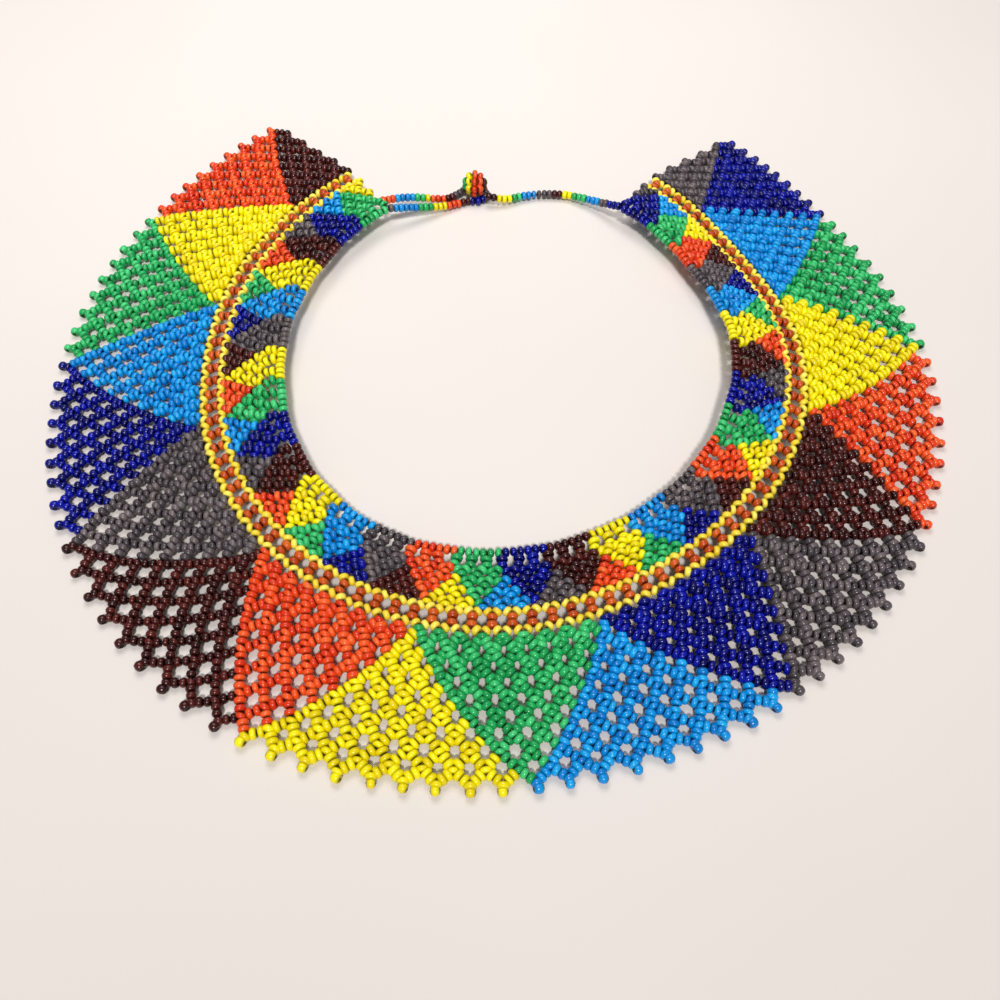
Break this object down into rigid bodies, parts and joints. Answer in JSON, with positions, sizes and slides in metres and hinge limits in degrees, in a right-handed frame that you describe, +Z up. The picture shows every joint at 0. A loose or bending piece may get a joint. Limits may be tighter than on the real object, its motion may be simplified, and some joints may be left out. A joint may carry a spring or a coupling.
{
  "type": "beaded collar necklace",
  "caption": "Flat netted seed-bead collar with colour triangles, a woven band, a picot rim and a loop-and-button closure at the back.",
  "frame": {"origin": "middle of the collar's box, on the surface that it lies on", "axes": "+Z up out of the surface, +Y towards the closure at the back, so the front faces -Y; +X is the right side in the picture"},
  "size_m": [0.2664, 0.2366, 0.0113],
  "materials": {
    "glass_orange": "opaque glossy glass beads",
    "glass_yellow": "opaque glossy glass beads",
    "glass_green": "opaque glossy glass beads",
    "glass_light_blue": "opaque glossy glass beads",
    "glass_dark_blue": "opaque glossy glass beads",
    "glass_grey": "opaque glossy glass beads",
    "glass_maroon": "opaque glossy glass beads",
    "glass_band": "opaque glossy glass beads"
  },
  "bodies": {
    "root": {"outer_01_maroon": "glass_maroon", "outer_02_orange": "glass_orange", "outer_03_yellow": "glass_yellow", "outer_04_green": "glass_green", "outer_05_light_blue": "glass_light_blue", "outer_06_dark_blue": "glass_dark_blue", "outer_07_grey": "glass_grey", "outer_08_maroon": "glass_maroon", "outer_09_orange": "glass_orange", "outer_10_yellow": "glass_yellow", "outer_11_green": "glass_green", "outer_12_light_blue": "glass_light_blue", "outer_13_dark_blue": "glass_dark_blue", "outer_14_grey": "glass_grey", "outer_15_maroon": "glass_maroon", "outer_16_orange": "glass_orange", "outer_17_yellow": "glass_yellow", "outer_18_green": "glass_green", "outer_19_light_blue": "glass_light_blue", "outer_20_dark_blue": "glass_dark_blue", "outer_21_grey": "glass_grey", "inner_net_orange": "glass_orange", "inner_net_yellow": "glass_yellow", "inner_net_green": "glass_green", "inner_net_light_blue": "glass_light_blue", "inner_net_dark_blue": "glass_dark_blue", "inner_net_grey": "glass_grey", "inner_net_maroon": "glass_maroon", "band": "glass_band", "closure_loop": "glass_light_blue", "closure_strand": "glass_green", "button": "glass_yellow"}
  },
  "joints": []
}
